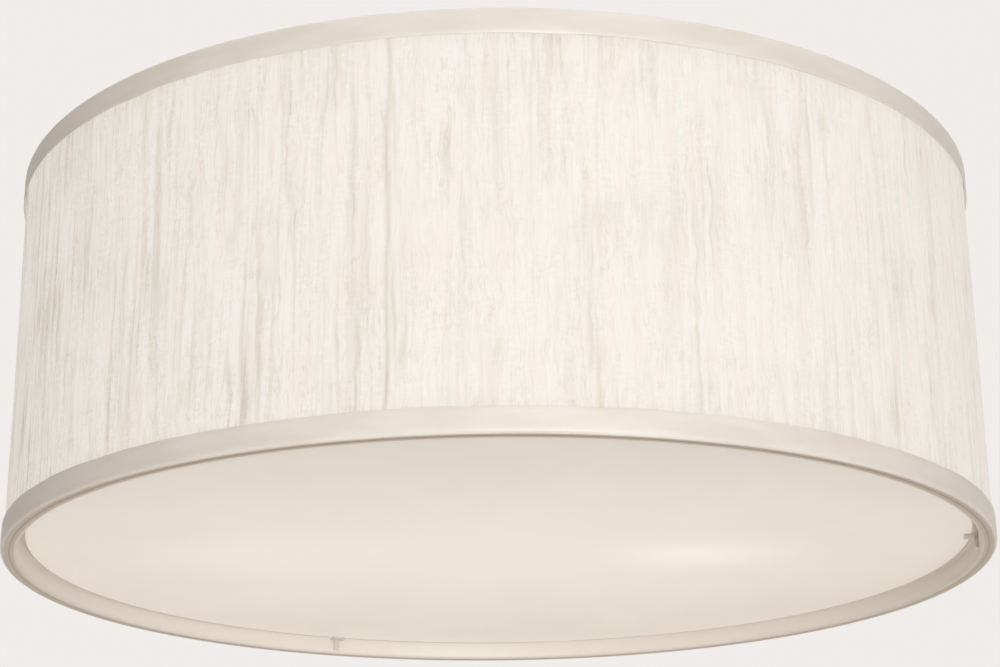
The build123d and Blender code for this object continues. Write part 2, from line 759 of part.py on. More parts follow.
def bulb_insulator():
    """Dark glass cone between the button and the cap."""
    return turned_on_x((
        (contact_button_height, 0), (contact_button_height, contact_button_radius + layer_gap),
        (cap_start, insulator_radius), (insulator_end, insulator_radius), (insulator_end, 0),
    ))


def bulb_stem():
    """Glass flare that closes the neck, with the rod that carries the filament."""
    flare = bulb_seal_radius - bulb_wall - 2 * layer_gap
    waist = seal_start + flare
    return turned_on_x((
        (seal_start, 0), (seal_start, flare), (seal_start + 2 * bulb_wall, flare),
        (waist, stem_rod_radius), (stem_end, stem_rod_radius), (stem_end, 0),
    ))


def bulb_support_wires():
    """Two wires from the stem out to the ends of the filament."""
    end = filament_start - layer_gap
    wires = []
    for side in (1, -1):
        start = (stem_end + support_wire_radius, side * support_foot_offset)
        finish = (end - support_wire_radius, side * (filament_half_length - filament_radius))
        wires.append(tube((start, finish), support_wire_radius))
    return wires


def bulb_filament():
    """Coiled filament, drawn as the tube that its coil fills."""
    across = Plane(origin=(filament_start + filament_radius, 0, 0), z_dir=(0, 1, 0))
    return extrude(across * Circle(filament_radius), filament_half_length, both=True)


# ---------------------------------------------------------------- assembly
def both_sides(name, shape):
    """The same piece on the right and on the left lamp axis, with its node names."""
    return {f"{word}_{name}": on_lamp_axis(shape, side) for word, side in (("right", 1), ("left", -1))}


def bulb_pieces():
    """Every piece of both bulbs, seated in their sockets."""
    makers = (
        bulb_glass, bulb_cap, bulb_contact, bulb_insulator, bulb_stem, bulb_support_wires,
        bulb_filament,
    )
    pieces = {}
    for maker in makers:
        made = maker()
        shapes = made if isinstance(made, list) else [made]
        seated = [Pos(bulb_tip, 0, 0) * shape for shape in shapes]
        pieces.update(both_sides(maker.__name__, Compound(seated) if len(seated) > 1 else seated[0]))
    return pieces


def light():
    """Every piece of the light, by node name."""
    return {
        "mounting_strap": mounting_strap(),
        "strap_ground_screw": strap_ground_screw(),
        "ground_terminal": ground_terminal(),
        "ground_lead": ground_lead(),
        "ground_wire_nut": ground_wire_nut(),
        "pan_studs": pan_studs(),
        "stud_lock_nuts": stud_lock_nuts(),
        "cap_nuts": cap_nuts(),
        "ceiling_pan": ceiling_pan(),
        "insulation_pad": insulation_pad(),
        "threaded_nipple": threaded_nipple(),
        "upper_lock_washer": lock_washer(pan_floor_z),
        "upper_nipple_nut": nipple_nut(upper_nut_z),
        "lower_lock_washer": lock_washer(bracket_bottom_z - lock_washer_thickness),
        "lower_nipple_nut": nipple_nut(bracket_bottom_z - lock_washer_thickness - nipple_nut_height),
        "spider_hub": spider_hub(),
        "spider_arms": spider_arms(),
        "top_ring": wire_ring(top_ring_z),
        "bottom_ring": wire_ring(bottom_ring_z),
        "shade_liner": shade_liner(),
        "shade_fabric": shade_fabric(),
        "top_trim": top_trim(),
        "bottom_trim": bottom_trim(),
        "right_diffuser_clip": diffuser_clip(clip_angles[0]),
        "far_diffuser_clip": diffuser_clip(clip_angles[1]),
        "near_diffuser_clip": diffuser_clip(clip_angles[2]),
        "diffuser": diffuser(),
        "socket_bracket": socket_bracket(),
        "socket_screws": socket_screws(),
        **both_sides("socket_body", socket_body()),
        **both_sides("screw_shell", screw_shell()),
        **both_sides("centre_contact", centre_contact()),
        "right_hot_lead": lead(1, True),
        "right_neutral_lead": lead(1, False),
        "left_hot_lead": lead(-1, True),
        "left_neutral_lead": lead(-1, False),
        "hot_wire_nut": pair_wire_nut(True),
        "neutral_wire_nut": pair_wire_nut(False),
        **bulb_pieces(),
    }


os.makedirs("parts", exist_ok=True)
for node, shape in light().items():
    whole = Compound(shape) if isinstance(shape, list) else shape
    export_step(whole, f"parts/{node}.step")
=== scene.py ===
import logging
import math
from dataclasses import dataclass
from enum import Enum
from typing import Any

import bmesh
import bpy
import numpy as np
from bpy.types import Material, Node, NodeSocket, NodeTree, Object
from mathutils import Matrix, Vector


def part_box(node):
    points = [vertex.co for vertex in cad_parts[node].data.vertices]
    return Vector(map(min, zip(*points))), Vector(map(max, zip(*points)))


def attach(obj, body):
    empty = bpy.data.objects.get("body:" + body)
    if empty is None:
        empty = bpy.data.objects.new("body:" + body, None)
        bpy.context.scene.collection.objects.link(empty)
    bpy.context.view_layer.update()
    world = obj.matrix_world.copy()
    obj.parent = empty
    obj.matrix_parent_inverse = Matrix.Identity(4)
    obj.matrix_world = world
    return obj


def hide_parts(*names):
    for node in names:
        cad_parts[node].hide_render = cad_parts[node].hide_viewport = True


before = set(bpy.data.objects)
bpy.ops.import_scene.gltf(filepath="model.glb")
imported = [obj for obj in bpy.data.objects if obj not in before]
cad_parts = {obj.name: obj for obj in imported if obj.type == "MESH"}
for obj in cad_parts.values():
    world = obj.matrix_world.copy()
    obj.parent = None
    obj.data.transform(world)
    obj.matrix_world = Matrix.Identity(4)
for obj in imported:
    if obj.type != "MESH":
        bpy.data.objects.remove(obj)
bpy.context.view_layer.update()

# Looks of a flush mount ceiling light: a crinkled silk drum shade with satin trims, an opal
# diffuser, two lit bulbs, and the steel pan and wiring that hold it to the ceiling.
# Metres, +Z up. The ceiling is the plane z = 0, and the camera looks up from the front (-Y).

MM = 0.001
log = logging.getLogger("ceiling_light")
NODES: dict[str, Object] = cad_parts
Pair = tuple[float, float]
Triple = tuple[float, float, float]


# ---- shared helpers
def linear(code: str) -> tuple[float, float, float, float]:
    """Turns an sRGB colour into the linear one that shaders work in.

    Args:
        code: the colour as six hex digits.

    Returns:
        Red, green, blue and an alpha of 1.
    """
    levels = np.array([int(code[i : i + 2], 16) for i in (0, 2, 4)]) / 255.0
    curved = np.where(levels <= 0.04045, levels / 12.92, ((levels + 0.055) / 1.055) ** 2.4)
    return (float(curved[0]), float(curved[1]), float(curved[2]), 1.0)


def add_node(
    tree: NodeTree, kind: str, inputs: dict[str | int, Any] | None = None, **settings: Any
) -> Node:
    """Adds a shader node with its settings, and gives each input a value or a link.

    Args:
        tree: the node tree that gets the node.
        kind: the node's type, without the words ShaderNode.
        inputs: what goes into each input, by its name or number: a value, an output to link, or
            a node, whose first output in use is linked.
        settings: the node's own settings.

    Returns:
        The new node.
    """
    node = tree.nodes.new("ShaderNode" + kind)
    for name, value in settings.items():
        setattr(node, name, value)
    for name, value in (inputs or {}).items():
        if isinstance(value, Node):
            value = next(output for output in value.outputs if output.enabled)
        if isinstance(value, NodeSocket):
            tree.links.new(value, node.inputs[name])
        else:
            node.inputs[name].default_value = value
    return node


def new_material(name: str) -> tuple[Material, NodeTree]:
    """Makes an empty node material.

    Args:
        name: what the real material is and how its surface was made.

    Returns:
        The material and its node tree.
    """
    material = bpy.data.materials.new(name)
    material.use_nodes = True
    material.node_tree.nodes.clear()
    return material, material.node_tree


def finished(material: Material, shader: Node) -> Material:
    """Links a shader to the material's surface, and returns the material."""
    add_node(material.node_tree, "OutputMaterial", {"Surface": shader})
    return material


def lattice_noise(
    across: np.ndarray, up: np.ndarray, cells: tuple[int, int], seed: int
) -> np.ndarray:
    """Smooth noise from 0 to 1 that closes on itself once round.

    Random values sit at the corners of a lattice, and between them the value follows the
    quintic step 6t^5 - 15t^4 + 10t^3 both ways.

    Args:
        across: share of the way round, of any size; it wraps at 1.
        up: share of the way up, from 0 to 1.
        cells: how many lattice cells there are round and up.
        seed: the number that fixes the random values.

    Returns:
        The noise at each point.
    """
    corner = np.random.default_rng(seed).random((cells[1] + 2, cells[0]))
    x, y = (across % 1.0) * cells[0], np.clip(up, 0.0, 1.0) * cells[1]
    column, row = np.floor(x).astype(int), np.floor(y).astype(int)
    s, t = x - column, y - row
    s, t = s**3 * (s * (6 * s - 15) + 10), t**3 * (t * (6 * t - 15) + 10)
    left, right = column % cells[0], (column + 1) % cells[0]
    low = corner[row, left] * (1 - s) + corner[row, right] * s
    high = corner[row + 1, left] * (1 - s) + corner[row + 1, right] * s
    return low * (1 - t) + high * t


def new_object(name: str, data: Any) -> Object:
    """Puts an object with the given data into the scene.

    Args:
        name: the object's name.
        data: its mesh, light or camera.

    Returns:
        The object.
    """
    thing = bpy.data.objects.new(name, data)
    bpy.context.scene.collection.objects.link(thing)
    return thing


def grid_object(
    name: str, points: np.ndarray, closed: tuple[bool, bool],
    flat: np.ndarray | None = None, values: dict[str, np.ndarray] | None = None
) -> Object:
    """Makes a smooth mesh object from a grid of points.

    Args:
        name: the object's name.
        points: the points, as rows x columns x 3. Faces point outwards where columns run
            anticlockwise seen from outside and rows run up.
        closed: whether the last row joins the first, and whether the last column does.
        flat: the same points on the flat sheet, in metres, as rows x columns x 2, with one
            more row or column where that way is closed.
        values: a number at each point, by attribute name.

    Returns:
        The object, in the scene.
    """
    rows, columns = points.shape[:2]
    row_steps, column_steps = rows - (not closed[0]), columns - (not closed[1])
    row, column = np.meshgrid(np.arange(row_steps), np.arange(column_steps), indexing="ij")
    steps = ((0, 0), (0, 1), (1, 1), (1, 0))
    corners = [((row + a) % rows) * columns + (column + b) % columns for a, b in steps]
    faces = np.stack(corners, axis=-1).reshape(-1, 4)
    mesh = bpy.data.meshes.new(name)
    mesh.vertices.add(rows * columns)
    mesh.vertices.foreach_set("co", points.astype(np.float32).ravel())
    mesh.loops.add(faces.size)
    mesh.loops.foreach_set("vertex_index", faces.astype(np.int32).ravel())
    mesh.polygons.add(len(faces))
    mesh.polygons.foreach_set("loop_start", np.arange(0, faces.size, 4, dtype=np.int32))
    mesh.polygons.foreach_set("use_smooth", np.ones(len(faces), dtype=bool))
    mesh.update(calc_edges=True)
    if flat is not None:
        places = np.stack([flat[row + a, column + b] for a, b in steps], axis=2)
        layer = mesh.uv_layers.new(name="flat")
        layer.data.foreach_set("uv", places.astype(np.float32).ravel())
    for label, value in (values or {}).items():
        attribute = mesh.attributes.new(label, "FLOAT", "POINT")
        attribute.data.foreach_set("value", value.astype(np.float32).ravel())
    mesh.validate()
    return new_object(name, mesh)


def place(piece: Object, body: str, slot: str, *replaced: str) -> None:
    """Lets a new piece ride on a body and stand for CAD nodes.

    Args:
        piece: the piece.
        body: the body that carries it.
        slot: the record's material slot; not used.
        replaced: the CAD nodes that it stands for.
    """
    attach(piece, body)
    if replaced:
        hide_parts(*replaced)
    log.info("%s: %d faces", piece.name, len(piece.data.polygons))


def around(radius: np.ndarray, angle: np.ndarray, height: np.ndarray) -> np.ndarray:
    """Points from a radius, an angle about Z and a height."""
    return np.stack([radius * np.cos(angle), radius * np.sin(angle), height], axis=-1)


def stretched(tree: NodeTree, spot: Node, size: Pair, detail: float) -> Node:
    """Noise on a flat sheet, with one size across and another up.

    Args:
        tree: the node tree.
        spot: where each point lies on the sheet, in metres.
        size: the noise's size across and up, in mm.
        detail: how many finer layers it has.

    Returns:
        The noise's node, which gives 0 to 1.
    """
    scaled = add_node(tree, "Mapping", {
        "Vector": spot, "Scale": (1 / (size[0] * MM), 1 / (size[1] * MM), 1.0)})
    return add_node(tree, "TexNoise", {
        "Vector": scaled, "Scale": 1.0, "Detail": detail}, noise_dimensions="2D")


# ---- finishes
@dataclass(frozen=True)
class Metal:
    """Bare or plated metal: rolled, drawn or turned, with a fine grain and uneven gloss."""

    name: str
    light: str
    dark: str
    roughness: float
    grain: Triple = (1.2, 1.2, 1.2)
    relief: float = 0.01
    patch: float = 14.0
    gloss_span: Pair = (0.8, 1.25)

    def make(self) -> Material:
        """Colour drifts between two hex values over patches, and a grain in mm roughens it.

        Returns:
            The material.
        """
        material, tree = new_material(self.name)
        spot = add_node(tree, "TexCoord").outputs["Object"]
        drift = add_node(tree, "TexNoise", {
            "Vector": spot, "Scale": 1 / (self.patch * MM), "Detail": 4.0, "Roughness": 0.6})
        fine = add_node(tree, "Mapping", {
            "Vector": spot, "Scale": tuple(1 / (size * MM) for size in self.grain)})
        grain = add_node(tree, "TexNoise", {"Vector": fine, "Scale": 1.0, "Detail": 3.0})
        colour = add_node(tree, "Mix", {
            0: drift, 6: linear(self.light), 7: linear(self.dark)}, data_type="RGBA")
        gloss = add_node(tree, "MapRange", {
            "Value": drift, "From Min": 0.3, "From Max": 0.7,
            "To Min": self.roughness * self.gloss_span[0],
            "To Max": self.roughness * self.gloss_span[1]})
        bump = add_node(tree, "Bump", {"Height": grain, "Distance": self.relief * MM})
        shader = add_node(tree, "BsdfPrincipled", {
            "Base Color": colour, "Metallic": 1.0, "Roughness": gloss, "Normal": bump})
        return finished(material, shader)


@dataclass(frozen=True)
class Coating:
    """Paint, enamel or moulded plastic: an even colour with the skin its process leaves."""

    name: str
    colour: str
    shifted_tone: str
    roughness: float
    texture: float = 1.5
    relief: float = 0.02
    patch: float = 11.0
    gloss_span: Pair = (0.85, 1.15)
    coat: float = 0.0

    def make(self) -> Material:
        """Colour varies a little towards a second one, over a skin with a texture size in mm.

        Returns:
            The material.
        """
        material, tree = new_material(self.name)
        spot = add_node(tree, "TexCoord").outputs["Object"]
        skin = add_node(tree, "TexNoise", {"Vector": spot, "Scale": 1 / (self.texture * MM)})
        drift = add_node(tree, "TexNoise", {
            "Vector": spot, "Scale": 1 / (self.patch * MM), "Detail": 3.0})
        share = add_node(tree, "MapRange", {"Value": drift, "From Min": 0.45, "From Max": 0.8})
        colour = add_node(tree, "Mix", {
            0: share, 6: linear(self.colour), 7: linear(self.shifted_tone)}, data_type="RGBA")
        gloss = add_node(tree, "MapRange", {
            "Value": drift, "From Min": 0.3, "From Max": 0.7,
            "To Min": self.roughness * self.gloss_span[0],
            "To Max": self.roughness * self.gloss_span[1]})
        bump = add_node(tree, "Bump", {"Height": skin, "Distance": self.relief * MM})
        shader = add_node(tree, "BsdfPrincipled", {
            "Base Color": colour, "Roughness": gloss, "Coat Weight": self.coat,
            "Coat Roughness": 0.12, "Normal": bump})
        return finished(material, shader)


@dataclass(frozen=True)
class Glass:
    """Blown or moulded glass, clear or dark, with faint waves from its making."""

    name: str
    colour: str
    transmission: float
    roughness: float = 0.02
    wave: float = 6.0
    relief: float = 0.03

    def make(self) -> Material:
        """A wave some millimetres long bends the gloss a little.

        Returns:
            The material.
        """
        material, tree = new_material(self.name)
        spot = add_node(tree, "TexCoord").outputs["Object"]
        wave = add_node(tree, "TexNoise", {"Vector": spot, "Scale": 1 / (self.wave * MM)})
        bump = add_node(tree, "Bump", {"Height": wave, "Distance": self.relief * MM})
        shader = add_node(tree, "BsdfPrincipled", {
            "Base Color": linear(self.colour), "Roughness": self.roughness, "IOR": 1.5,
            "Transmission Weight": self.transmission, "Normal": bump})
        return finished(material, shader)


@dataclass(frozen=True)
class SoftWhiteGlass:
    """Silica-coated glass of a lit bulb: it glows all over, most round the filament."""

    name: str = "Soft white coated bulb glass, blown"
    colour: str = "BDB8AE"
    glow: str = "FFE9CC"
    strength: float = 0.8
    filament_x: float = 95.3 * MM
    filament_z: float = -67.0 * MM
    bright_within: float = 26.0 * MM
    dim_beyond: float = 72.0 * MM
    dim_share: float = 0.35

    def make(self) -> Material:
        """The glow falls with distance from the filament, the same in both bulbs.

        Returns:
            The material.
        """
        material, tree = new_material(self.name)
        spot = add_node(tree, "TexCoord").outputs["Object"]
        folded = add_node(tree, "VectorMath", {0: spot}, operation="ABSOLUTE")
        centre = (self.filament_x, 0.0, -self.filament_z)
        away = add_node(tree, "VectorMath", {0: folded, 1: centre}, operation="DISTANCE")
        share = add_node(tree, "MapRange", {
            "Value": away.outputs["Value"], "From Min": self.bright_within,
            "From Max": self.dim_beyond, "To Min": 1.0, "To Max": self.dim_share},
            interpolation_type="SMOOTHSTEP")
        light = add_node(tree, "Mix", {
            0: 1.0, 6: linear(self.glow), 7: share}, data_type="RGBA", blend_type="MULTIPLY")
        shader = add_node(tree, "BsdfPrincipled", {
            "Base Color": linear(self.colour), "Roughness": 0.28, "IOR": 1.5,
            "Emission Color": light, "Emission Strength": self.strength})
        return finished(material, shader)


@dataclass(frozen=True)
class CrinkledSilk:
    """Crushed ivory silk, lit mostly through it by the liner's painted glow behind."""

    name: str = "Crinkled silk, woven and crushed"
    open_colour: str = "F2EFEC"
    # Painted crease shade and the real slubs darken the cloth towards this colour.
    crease_shade_colour: str = "CCC2B1"
    cool_tint: str = "FDFEFD"
    warm_tint: str = "FEFCFA"
    # Sizes of the patterns on the cloth, across and up it, in mm. Real threads are 0.1 mm,
    # too fine to show here, so they are drawn in bundles.
    thread: Pair = (0.7, 11.0)
    waver: Pair = (6.0, 12.0)
    crushed: Pair = (6.0, 26.0)
    crimp: Pair = (3.2, 1.3)
    line: Pair = (1.5, 9.0)
    line_patch: Pair = (9.0, 30.0)
    streak: Pair = (2.6, 60.0)
    streak_group: Pair = (22.0, 120.0)
    tint: Pair = (5.0, 40.0)
    waver_mm: float = 1.5
    line_width: float = 0.028
    line_share: float = 0.26
    slub_share: float = 0.2
    streak_share: float = 0.5
    # How strongly each crimp adds its painted highlight and painted shade.
    crimp_painted_light: float = 0.085
    crimp_relief: float = 0.5
    relief: float = 0.14
    let_through: float = 0.90
    calm_level: float = 1.01
    calm: float = 0.42
    calm_from: float = 0.94
    cloth_length: float = 1.2766

    def wavering(self, tree: NodeTree) -> Node:
        """Places on the cloth, pushed sideways by a noise, as the crushing leaves them.

        Args:
            tree: the node tree.

        Returns:
            The node that gives the pushed places, in metres.
        """
        flat = add_node(tree, "UVMap", uv_map="flat")
        push = add_node(tree, "MapRange", {
            "Value": stretched(tree, flat, self.waver, 1.5), "To Min": -self.waver_mm * MM,
            "To Max": self.waver_mm * MM})
        aside = add_node(tree, "CombineXYZ", {"X": push})
        return add_node(tree, "VectorMath", {0: flat, 1: aside}, operation="ADD")

    def make(self) -> Material:
        """Painted crease shade and real slubs darken the cloth for light off it and through it.

        The painted shade comes from the fold values, from streaks in groups, and from crease lines
        where a noise crosses its middle value, in patches; where the cloth lies doubled part of it
        is real, as doubled silk lets less light through. Crimps are short bars across the pleats,
        where the cloth was crushed hardest, each with a painted highlight and painted shade. All
        of it is weaker on one side of the drum than the other, by a sine once round.

        Returns:
            The material.
        """
        material, tree = new_material(self.name)
        cloth = self.wavering(tree)
        fold = add_node(tree, "Attribute", attribute_name="fold").outputs["Fac"]
        threads = stretched(tree, cloth, self.thread, 3.0)
        crushed = stretched(tree, cloth, self.crushed, 1.0)
        where = add_node(tree, "MapRange", {"Value": crushed, "From Min": 0.42, "From Max": 0.6})
        crimp = add_node(tree, "MapRange", {
            "Value": stretched(tree, cloth, self.crimp, 1.0), "From Min": 0.35, "From Max": 0.65,
            "To Min": -1.0, "To Max": 1.0})
        crimp = add_node(tree, "Math", {0: crimp, 1: where}, operation="MULTIPLY")
        relief = add_node(tree, "Math", {
            0: crimp, 1: self.crimp_relief, 2: threads}, operation="MULTIPLY_ADD")
        slub = add_node(tree, "MapRange", {
            "Value": threads, "From Min": 0.34, "From Max": 0.5, "To Min": self.slub_share,
            "To Max": 0.0})
        # Thin crease lines in patches: painted crease shade.
        crossing = add_node(tree, "Math", {
            0: stretched(tree, cloth, self.line, 1.5), 1: 0.5, 2: self.line_width},
            operation="COMPARE")
        patch = add_node(tree, "MapRange", {
            "Value": stretched(tree, cloth, self.line_patch, 1.0), "From Min": 0.4,
            "From Max": 0.62, "To Max": self.line_share})
        # Dark streaks in groups: painted pleat shade.
        streak = add_node(tree, "MapRange", {
            "Value": stretched(tree, cloth, self.streak, 2.0), "From Min": 0.52, "From Max": 0.75,
            "To Max": self.streak_share})
        group = add_node(tree, "MapRange", {
            "Value": stretched(tree, cloth, self.streak_group, 1.0), "From Min": 0.42,
            "From Max": 0.62})
        # The real slubs plus painted shade from the fold values, streaks, crease lines and crimps;
        # crimps also give a painted highlight.
        slub_and_painted_shade = add_node(tree, "Math", {0: fold, 1: slub}, operation="ADD")
        for share, factor in ((streak, group), (crossing, patch), (crimp, -self.crimp_painted_light)):
            slub_and_painted_shade = add_node(tree, "Math", {
                0: share, 1: factor, 2: slub_and_painted_shade}, operation="MULTIPLY_ADD", use_clamp=True)
        turn = add_node(tree, "Math", {
            0: add_node(tree, "SeparateXYZ", {0: cloth}).outputs["X"],
            1: 2 * math.pi / self.cloth_length}, operation="MULTIPLY")
        turn = add_node(tree, "Math", {0: turn, 1: self.calm_from}, operation="ADD")
        turn = add_node(tree, "Math", {0: turn}, operation="SINE")
        pull = add_node(tree, "Math", {
            0: turn, 1: -self.calm, 2: self.calm_level}, operation="MULTIPLY_ADD")
        slub_and_painted_shade = add_node(tree, "Math", {0: slub_and_painted_shade, 1: pull}, operation="MULTIPLY")
        tint = add_node(tree, "MapRange", {
            "Value": stretched(tree, cloth, self.tint, 2.0), "From Min": 0.38, "From Max": 0.62})
        wash = add_node(tree, "Mix", {
            0: tint, 6: linear(self.cool_tint), 7: linear(self.warm_tint)}, data_type="RGBA")
        # The cloth's colour with the painted crease shade and the slubs mixed in.
        shifted_tone = add_node(tree, "Mix", {
            0: slub_and_painted_shade, 6: linear(self.open_colour), 7: linear(self.crease_shade_colour)}, data_type="RGBA")
        colour = add_node(tree, "Mix", {
            0: 1.0, 6: shifted_tone, 7: wash}, data_type="RGBA", blend_type="MULTIPLY")
        bump = add_node(tree, "Bump", {"Height": relief, "Distance": self.relief * MM})
        front = add_node(tree, "BsdfPrincipled", {
            "Base Color": colour, "Roughness": 0.7, "Sheen Weight": 0.12, "Normal": bump})
        through = add_node(tree, "BsdfTranslucent", {"Color": colour})
        both = add_node(tree, "MixShader", {0: self.let_through, 1: front, 2: through})
        return finished(material, both)


@dataclass(frozen=True)
class SatinTape:
    """Ivory satin tape: smooth and a little glossy, with ribs along its length."""

    name: str = "Satin tape, woven and glued"
    colour: str = "F0EBE3"
    shade: str = "E9E2D7"
    # Painted shade under the rim, round the wire, from this far across the width.
    underside_shade_colour: str = "D3C6B3"
    underside_shade_at: float = 9.3 * MM
    # A dark painted line for the shade in the groove where the tape turns in.
    groove_shade_colour: str = "A99C89"
    groove_at: float = 11.3 * MM
    groove_width: float = 0.6 * MM
    # A little painted shade on the turned-in leg inside the rim.
    turned_in_shade_colour: str = "ECE6DC"
    turned_at: float = 13.2 * MM
    blend: float = 0.4 * MM
    roughness: float = 0.42
    # Sizes along and across the tape, in mm. Real ribs are finer than a pixel, so these are
    # as coarse as they need to be to show.
    rib: Pair = (22.0, 0.9)
    drift: Pair = (38.0, 9.0)
    rib_relief: float = 0.03

    def make(self) -> Material:
        """Ribs run along the tape, and its colour drifts along its length.

        Across its width it has painted shade: darker on its underside round the wire, a dark
        painted line in the groove where it turns in, and a little darker on the turned-in leg.

        Returns:
            The material.
        """
        material, tree = new_material(self.name)
        flat = add_node(tree, "UVMap", uv_map="flat")
        ribs = stretched(tree, flat, self.rib, 2.0)
        drift = stretched(tree, flat, self.drift, 2.0)
        share = add_node(tree, "MapRange", {"Value": drift, "From Min": 0.35, "From Max": 0.7})
        colour = add_node(tree, "Mix", {
            0: share, 6: linear(self.colour), 7: linear(self.shade)}, data_type="RGBA")
        width_at = add_node(tree, "SeparateXYZ", {0: flat}).outputs["Y"]
        # Painted shade across the width: the underside, the groove line and the turned-in leg.
        for start, tone in ((self.underside_shade_at, self.underside_shade_colour),
                            (self.groove_at, self.groove_shade_colour),
                            (self.groove_at + self.groove_width, self.underside_shade_colour),
                            (self.turned_at, self.turned_in_shade_colour)):
            past = add_node(tree, "MapRange", {
                "Value": width_at, "From Min": start, "From Max": start + self.blend})
            colour = add_node(tree, "Mix", {0: past, 6: colour, 7: linear(tone)}, data_type="RGBA")
        bump = add_node(tree, "Bump", {"Height": ribs, "Distance": self.rib_relief * MM})
        shader = add_node(tree, "BsdfPrincipled", {
            "Base Color": colour, "Roughness": self.roughness, "Sheen Weight": 0.15,
            "Normal": bump})
        return finished(material, shader)


@dataclass(frozen=True)
class Lobe:
    """A soft patch of painted light on the diffuser: its middle, its reach both ways, and its
    gain.
    """

    x: float
    y: float
    reach_x: float
    reach_y: float
    gain: float


@dataclass(frozen=True)
class OpalSheet:
    """Opal acrylic, cast: milk white, a soft gloss, and a wide painted glow over each bulb."""

    name: str = "Opal acrylic sheet, cast"
    colour: str = "AFA99F"
    # Colour of the even painted glow, and of the painted lobes over the bulbs.
    glow: str = "A6A19A"
    lobe: str = "FFF1DC"
    haze: float = 45.0
    lobes: tuple[Lobe, ...] = (
        Lobe(0.0, 0.0, 340 * MM, 215 * MM, 0.105),
        Lobe(84 * MM, 8 * MM, 64 * MM, 46 * MM, 0.065),
        Lobe(82 * MM, 9 * MM, 34 * MM, 24 * MM, 0.035),
        Lobe(-88 * MM, 0.0, 95 * MM, 70 * MM, 0.035),
    )

    def make(self) -> Material:
        """The painted glow for the bulbs' light is an even part, a broad dome, and a lobe per
        bulb.

        Returns:
            The material.
        """
        material, tree = new_material(self.name)
        spot = add_node(tree, "TexCoord").outputs["Object"]
        total: Any = linear(self.glow)
        for lobe in self.lobes:
            moved = add_node(tree, "Mapping", {
                "Vector": spot,
                "Location": (-lobe.x / lobe.reach_x, -lobe.y / lobe.reach_y, 0.0),
                "Scale": (1 / lobe.reach_x, 1 / lobe.reach_y, 0.0)})
            ball = add_node(tree, "TexGradient", {"Vector": moved}, gradient_type="SPHERICAL")
            soft = add_node(tree, "MapRange", {
                "Value": ball.outputs["Fac"], "To Max": lobe.gain},
                interpolation_type="SMOOTHERSTEP")
            total = add_node(tree, "Mix", {
                0: soft, 6: total, 7: linear(self.lobe)}, data_type="RGBA", blend_type="ADD")
        haze = add_node(tree, "TexNoise", {"Vector": spot, "Scale": 1 / (self.haze * MM)})
        gloss = add_node(tree, "MapRange", {
            "Value": haze, "From Min": 0.3, "From Max": 0.7, "To Min": 0.3, "To Max": 0.38})
        # Emission carries the painted glow over the sheet's own colour.
        shader = add_node(tree, "BsdfPrincipled", {
            "Base Color": linear(self.colour), "Roughness": gloss, "IOR": 1.49,
            "Emission Color": total, "Emission Strength": 1.0})
        return finished(material, shader)


@dataclass(frozen=True)
class StyreneLiner:
    """White styrene laminate, extruded: matt, faintly ribbed, with a painted glow."""

    name: str = "Styrene liner, extruded"
    # Grey own colour of the outer face, under its painted glow.
    colour: str = "95938F"
    ridge: str = "8D8B87"
    inner_colour: str = "CFC7BA"
    # Colour of the painted glow, standing for the bulbs' light shining through the liner.
    glow: str = "F5F5F5"
    strength: float = 0.80
    inner_share: float = 0.12
    line: Triple = (2.0, 2.0, 60.0)
    relief: float = 0.03

    def make(self) -> Material:
        """Fine upright lines from the roller cross a slow change of tone.

        The bulbs' light that comes through is painted as a glow on the outer face, whose normal
        points away from the shade's middle line; under the glow that face's own colour is grey.
        The inner face is whiter, and has a small share of that painted glow.

        Returns:
            The material.
        """
        material, tree = new_material(self.name)
        spot = add_node(tree, "TexCoord").outputs["Object"]
        scaled = add_node(tree, "Mapping", {
            "Vector": spot, "Scale": tuple(1 / (size * MM) for size in self.line)})
        lines = add_node(tree, "TexNoise", {"Vector": scaled, "Scale": 1.0})
        tone = add_node(tree, "Mix", {
            0: lines, 6: linear(self.colour), 7: linear(self.ridge)}, data_type="RGBA")
        bump = add_node(tree, "Bump", {"Height": lines, "Distance": self.relief * MM})
        facing = add_node(tree, "VectorMath", {
            0: spot, 1: add_node(tree, "NewGeometry").outputs["True Normal"]},
            operation="DOT_PRODUCT")
        outside = add_node(tree, "MapRange", {
            "Value": facing.outputs["Value"], "From Min": -0.1, "From Max": 0.1})
        tone = add_node(tree, "Mix", {
            0: outside, 6: linear(self.inner_colour), 7: tone}, data_type="RGBA")
        # Painted glow: full on the outer face, a small share on the inner one.
        lit = add_node(tree, "MapRange", {
            "Value": outside, "To Min": self.strength * self.inner_share, "To Max": self.strength})
        shader = add_node(tree, "BsdfPrincipled", {
            "Base Color": tone, "Roughness": 0.55, "Normal": bump,
            "Emission Color": linear(self.glow), "Emission Strength": lit})
        return finished(material, shader)


